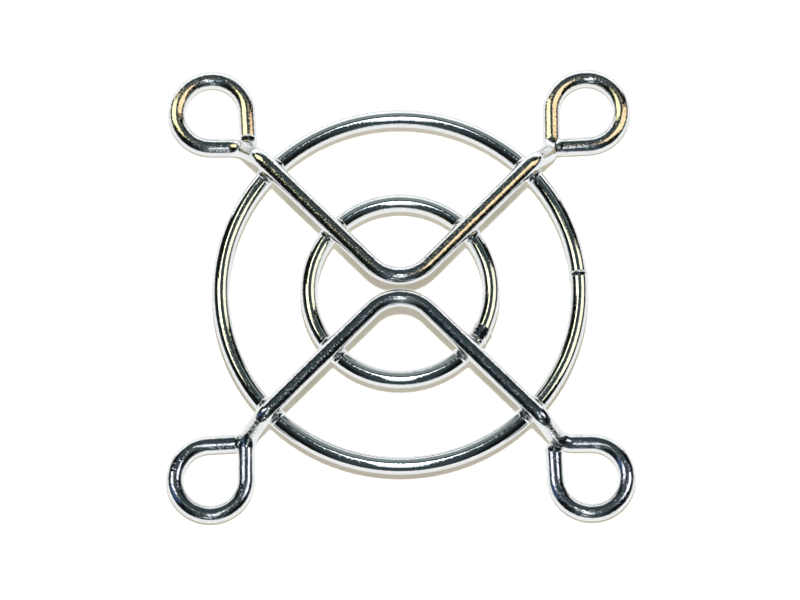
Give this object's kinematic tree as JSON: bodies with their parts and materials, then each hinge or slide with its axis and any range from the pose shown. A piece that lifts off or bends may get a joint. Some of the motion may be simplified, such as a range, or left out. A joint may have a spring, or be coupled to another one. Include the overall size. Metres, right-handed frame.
{
  "type": "wire fan guard",
  "caption": "Round wire fan guard: concentric rings welded under V-shaped ribs whose ends step down and wind into screw eyes.",
  "frame": {"origin": "centre of the square of screw eyes, in the mounting plane under them", "axes": "+Z away from the fan, to the outside of the guard; X and Y along the sides of the square of screw eyes, with the gap between the two ribs along X"},
  "size_m": [0.0394, 0.0394, 0.004],
  "materials": {
    "ring_wire": "bright plated drawn wire",
    "rib_wire": "bright plated drawn wire",
    "weld": "plated weld flash, slightly rough"
  },
  "bodies": {
    "root": {"outer_ring": "ring_wire", "inner_ring": "ring_wire", "upper_rib": "rib_wire", "lower_rib": "rib_wire", "outer_weld_upper_left": "weld", "outer_weld_upper_right": "weld", "outer_weld_lower_left": "weld", "outer_weld_lower_right": "weld", "inner_weld_upper_left": "weld", "inner_weld_upper_right": "weld", "inner_weld_lower_left": "weld", "inner_weld_lower_right": "weld", "outer_butt_weld": "weld", "inner_butt_weld": "weld", "tip_weld_upper_left": "weld", "tip_weld_upper_right": "weld", "tip_weld_lower_left": "weld", "tip_weld_lower_right": "weld"}
  },
  "joints": []
}
